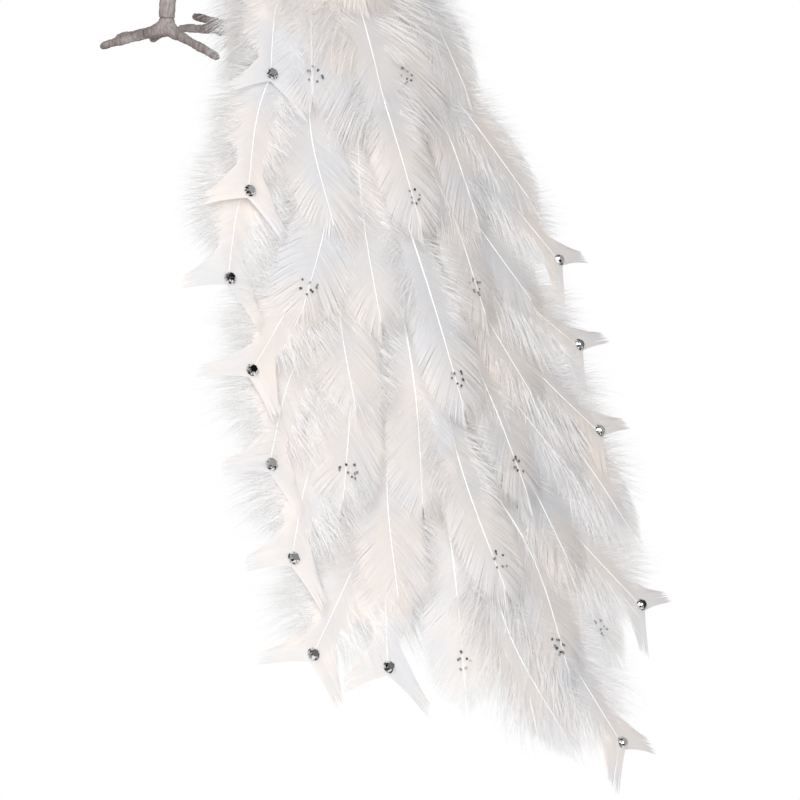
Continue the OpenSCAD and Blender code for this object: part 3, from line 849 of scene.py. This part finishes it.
# %% Scatter the flakes
flake_rng = np.random.default_rng(12)
flakes, flake_tones = [], []
for points in plates("glitter_dots"):
    centre = points.mean(0)
    for _ in range(1 + int(flake_rng.random() < 0.55)):
        axis = TRAIN_OUT + flake_rng.normal(0, 0.22, 3)
        axis /= np.linalg.norm(axis)
        spot = centre + flake_rng.normal(0, 0.55, 3) * MM + TRAIN_OUT * 1.3 * MM
        side = np.cross(axis, [0.2, 0.7, 0.3])
        side /= np.linalg.norm(side)
        other = np.cross(axis, side)
        size = flake_rng.uniform(0.6, 0.85) * MM
        ring = [spot + size * (math.cos(a) * side + math.sin(a) * other)
                for a in np.arange(6) * math.pi / 3 + flake_rng.uniform(0, 1)]
        verts = ring + [v - axis * 0.15 * MM for v in ring]
        faces = [tuple(range(6)), tuple(range(11, 5, -1))]
        faces += [(k, 6 + k, 6 + (k + 1) % 6, (k + 1) % 6) for k in range(6)]
        flakes.append((verts, faces))
        flake_tones += [float(flake_rng.choice([0.2, 0.32, 0.45, 0.6]))] * 8
FOIL = tone_material("glitter_foil", "tone", 0.3)
glitter = piece_from("glitter_flakes", flakes, FOIL, smooth=False)
give_tones(glitter, "tone", flake_tones)
put(glitter, "glitter_dots")
print("flakes:", len(flakes))

# %% [markdown]
# ## Foam, felt, wire, beak and eyes
# What the feathers hide still has its finish: cut foam with its fine cells, pressed felt, bright
# wire. The beak is a painted horn-grey curve, and the eyes are black beads.

# %% Plain finishes
def grained(name, light, dark, grain_mm, roughness, depth_mm, metallic=0.0, sheen=0.0):
    """A solid colour with a fine grain in tint and relief."""
    material, tree, shader = new_material(name)
    place = add_node(tree, "ShaderNodeTexCoord").outputs["Object"]
    grain = add_node(tree, "ShaderNodeTexNoise", None,
                     {"Vector": place, "Scale": 1 / (grain_mm * MM), "Detail": 4.0, "Roughness": 0.6})
    tint = add_node(tree, "ShaderNodeValToRGB", None, {"Fac": grain.outputs["Fac"]})
    tint.color_ramp.elements[0].position = 0.35
    tint.color_ramp.elements[0].color = linear(dark)
    tint.color_ramp.elements[1].position = 0.65
    tint.color_ramp.elements[1].color = linear(light)
    tree.links.new(tint.outputs["Color"], shader.inputs["Base Color"])
    shader.inputs["Roughness"].default_value = roughness
    shader.inputs["Metallic"].default_value = metallic
    shader.inputs["Sheen Weight"].default_value = sheen
    bump = add_node(tree, "ShaderNodeBump", None,
                    {"Height": grain.outputs["Fac"], "Strength": 0.6, "Distance": depth_mm * MM})
    tree.links.new(bump.outputs[0], shader.inputs["Normal"])
    return material


FINISHES = {
    "foam": grained("cut_foam", "#fbfaf7", "#eeece6", 1.2, 0.9, 0.4),
    "felt": grained("pressed_felt", "#faf9f6", "#ecebe7", 0.8, 0.95, 0.3, sheen=0.3),
    "wire": grained("steel_wire", "#b9bbbd", "#9c9ea1", 0.6, 0.35, 0.02, metallic=1.0),
    "eye": grained("black_bead", "#0d0c0c", "#070707", 2.0, 0.08, 0.01),
    "beak": grained("painted_horn", "#aba29a", "#8c837c", 1.5, 0.45, 0.1),
}
for node, finish in {
    "foam_body": "foam", "foam_head": "foam", "train_board": "felt", "train_wires": "wire",
    "left_hip_wire": "wire", "right_hip_wire": "wire", "tail_wire_stub": "wire",
    "left_leg_wires": "wire", "right_leg_wires": "wire", "left_eye": "eye", "right_eye": "eye",
}.items():
    mesh = frame["nodes"][node].data
    mesh.materials.clear()
    mesh.materials.append(FINISHES[finish])

# %% [markdown]
# The beak's two halves come from the CAD cones: the same roots and lengths, but bent down a
# little towards the tip, as a peafowl's is.

# %% Bend the beak
face = middle("foam_head")
for node, bow, width in (("upper_beak", 1.6, 4.6), ("lower_beak", 0.9, 3.6)):
    back, front = farthest(node, face)
    way = (front - back) / np.linalg.norm(front - back)
    drop = np.array([0, 0, -1.0]) - way * way[2] * -1
    path = curve([back, back + 0.55 * (front - back) - drop * 0.3 * MM, front + drop * bow * MM], 24)
    radii = width * MM * (1 - np.linspace(0, 1, 24) ** 1.3 * 0.86)
    shape = wound_tube(path, radii, 20, step=0.0, flat=0.62 if node == "upper_beak" else 0.5)
    put(piece_from(node + "_horn", [shape], FINISHES["beak"]), node)

# %% [markdown]
# ## The crest
# Five bare quills stand up from the crown, and each keeps a small fan of barbs at its end. The
# same two trees grow them, on lines whose reach is nothing until the last quarter.

# %% Grow the crest
crown = middle("foam_head")
stems = []
for points in plates("crest_stems"):
    centre = points.mean(0)
    way = np.linalg.svd(points - centre, full_matrices=False)[2][0]
    way = way * np.sign(way @ (centre - crown))
    reach = (points - centre) @ way
    base, top = centre + way * reach.min(), centre + way * (reach.max() + 6 * MM)
    t = np.linspace(0, 1, QUILL_POINTS)
    path = base + np.outer(t, top - base) + np.outer(np.sin(np.pi * t), [0.0008, 0, 0])
    across = np.array([way[2], 0.0, -way[0]])
    feather = {"along": way, "across": across, "up": np.array([0.0, 1.0, 0.0]), "width": 9 * MM}
    fan = ramp(t, 0.74, 0.84)
    stems.append((path, 6.5 * MM * fan, np.radians(66 - 40 * t), np.full(len(t), 0.42) * MM, feather))
lines = line_object("crest_lines", stems)
crest_quills = grow(lines, QUILL_TREE, QUILL)
crest_fans = grow(lines, BARB_TREE, VANE, **{
    "Seed": 5, "Spacing": 0.3 * MM, "Barbs per root": 4, "Width": 0.35 * MM, "Segments": 4, "Taper": 4.0,
    "Length jitter": 0.3, "Angle jitter": 0.5, "Lift": 0.8, "Curl": 0.3, "Wave": 0.2, "Wave scale": 200.0,
    "Twist": 1.0, "Cup": 0.0})
bpy.data.objects.remove(lines)
put(joined("crest_quills", [crest_quills]), "crest_stems")
put(joined("crest_fans", [crest_fans]), "crest_tips")

# %% [markdown]
# ## Fluff over the bare foam
# Between the rows the maker glues loose marabou, so that no foam shows. Short tufts are scattered
# over the foam's surface by area. Each is a short line along the surface with barbs on both sides.

# %% Scatter tufts over the foam
def foam_tufts(node, count, size, keep):
    """Records like a feather's, at random places on a CAD node's surface."""
    mesh = frame["nodes"][node].data
    mesh.calc_loop_triangles()
    corners = np.array([[mesh.vertices[v].co[:] for v in tri.vertices] for tri in mesh.loop_triangles])
    cross = np.cross(corners[:, 1] - corners[:, 0], corners[:, 2] - corners[:, 0])
    area = np.linalg.norm(cross, axis=1)
    normals = cross / np.maximum(area, 1e-12)[:, None]
    made = []
    for k in rng.choice(len(area), count * 3, p=area / area.sum()):
        a, b = sorted(rng.random(2))
        spot = corners[k, 0] * a + corners[k, 1] * (b - a) + corners[k, 2] * (1 - b)
        if len(made) == count or not keep(spot, normals[k]):
            continue
        up = normals[k]
        along = TAILWARD - up * (TAILWARD @ up)
        if np.linalg.norm(along) < 0.2:
            continue
        along /= np.linalg.norm(along)
        made.append({"root": spot, "along": along, "across": np.cross(up, along), "up": up,
                     "length": size, "width": size * 0.8, "forked": False})
    return made


def outside_bores(spot, normal):
    """Only the outer skin: a bore's wall looks back towards the spine or across it."""
    return normal @ from_spine(spot) > 0.1


def grow_tufts(name, tufts, node):
    rows = []
    for tuft in tufts:
        t, path = quill_path(tuft, 1.0, 0.2, 0.15)
        rows.append((path + np.outer(t, tuft["up"]) * 0.25 * tuft["length"], *down_profile(t, tuft),
                     np.full(len(t), 0.1 * MM), tuft))
    lines = line_object(name + "_lines", rows)
    fluff = grow(lines, BARB_TREE, DOWN, **{
        "Seed": 31, "Spacing": 0.5 * MM, "Width": 0.24 * MM, "Segments": 4, "Taper": 3.0,
        "Length jitter": 0.8, "Angle jitter": 0.9, "Curl": 0.35, "Cup": 0.25, "Wave": 0.4,
        "Wave scale": 90.0, "Twist": 1.5, "Lift": 0.8})
    bpy.data.objects.remove(lines)
    piece = joined(name, [fluff])
    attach(piece, body_of(frame["nodes"][node])[0])
    return piece


def clear_of_face(spot, normal):
    """Keeps the tufts off the two eyes and the root of the beak."""
    room = {"left_eye": 5 * MM, "right_eye": 5 * MM, "upper_beak": 13 * MM}
    return outside_bores(spot, normal) and all(
        np.linalg.norm(spot - middle(node)) > gap for node, gap in room.items())


# The felt board's upper end sticks out of the first row, so it gets the same loose marabou. The
# 400 places are tried over the whole board, and only those on its upper end are kept.
BOARD_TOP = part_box("train_board")[1][2]
BARE_END = 42 * MM


def on_bare_end(spot, normal):
    return spot[2] > BOARD_TOP - BARE_END


grow_tufts("body_fluff", foam_tufts("foam_body", 420, 20 * MM, outside_bores), "foam_body")
grow_tufts("head_fluff", foam_tufts("foam_head", 110, 8 * MM, clear_of_face), "foam_head")
grow_tufts("board_fluff", foam_tufts("train_board", 400, 24 * MM, on_bare_end), "train_board")
print("tufts grown on the body, the head and the board")

# %% [markdown]
# ## The view, the lights and a pale floor
# The bird is seen from behind and to its left, from a little above, against white. Large soft
# lights keep the plumes bright and the shadows between them thin.

# %% Camera, lights and floor
def add_object(name, data):
    item = bpy.data.objects.new(name, data)
    bpy.context.scene.collection.objects.link(item)
    return item


AIM = Vector((0.16335, 0.0, -0.180))
azimuth, elevation = math.radians(50), math.radians(6)
to_camera = Vector((math.sin(azimuth) * math.cos(elevation), -math.cos(azimuth) * math.cos(elevation),
                    math.sin(elevation)))
camera = add_object("camera", bpy.data.cameras.new("camera"))
camera.location = AIM + 1.6 * to_camera
camera.rotation_euler = (-to_camera).to_track_quat("-Z", "Y").to_euler()
camera.data.lens = 144
camera.data.sensor_width = 36
bpy.context.scene.camera = camera


def add_light(name, spot, size, watts, colour="#ffffff"):
    lamp = bpy.data.lights.new(name, "AREA")
    lamp.shape = "DISK"
    lamp.size = size
    lamp.energy = watts
    lamp.color = linear(colour)[:3]
    item = add_object(name, lamp)
    item.location = AIM + Vector(spot)
    item.rotation_euler = (-Vector(spot)).to_track_quat("-Z", "Y").to_euler()
    return item


add_light("key_light", (0.9, -1.3, 1.3), 1.0, 13)
add_light("front_light", (1.68, -1.41, 0.4), 1.5, 43)
add_light("back_light", (-1.5, 1.3, 0.6), 1.5, 6)

# The camera sees a pure white room. The plumes get about a third of its light, and the rest from
# the lamps, so that the thin fluff at the train's edges stays a little darker than the wall.
ROOM_SEEN, ROOM_LIGHT = 1.0, 0.35
world = bpy.data.worlds.new("white_room")
bpy.context.scene.world = world
world.use_nodes = True
seen = add_node(world.node_tree, "ShaderNodeLightPath").outputs["Is Camera Ray"]
strength = add_node(world.node_tree, "ShaderNodeMapRange", None,
                    {"Value": seen, "To Min": ROOM_LIGHT, "To Max": ROOM_SEEN}).outputs[0]
sky = world.node_tree.nodes["Background"]
sky.inputs["Color"].default_value = (1, 1, 1, 1)
world.node_tree.links.new(strength, sky.inputs["Strength"])

bpy.context.scene.view_settings.view_transform = "Standard"
bpy.context.scene.view_settings.look = "None"

FLOOR_Z, FLOOR_HALF = -0.62, 0.6
corners = [(-1, -1), (1, -1), (1, 1), (-1, 1)]
floor_mesh = bpy.data.meshes.new("floor")
floor_mesh.from_pydata([(0.1 + FLOOR_HALF * x, FLOOR_HALF * y, FLOOR_Z) for x, y in corners], [],
                       [(0, 1, 2, 3)])
floor = add_object("floor", floor_mesh)
floor_paint, tree, shader = new_material("floor_paint")
shader.inputs["Base Color"].default_value = linear("#f4f4f4")
shader.inputs["Roughness"].default_value = 0.9
floor_mesh.materials.append(floor_paint)

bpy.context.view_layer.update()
total = sum(sum(len(f.vertices) - 2 for f in o.data.polygons) for o in bpy.data.objects
            if o.type == "MESH" and not o.hide_render)
print("triangles in view:", total)
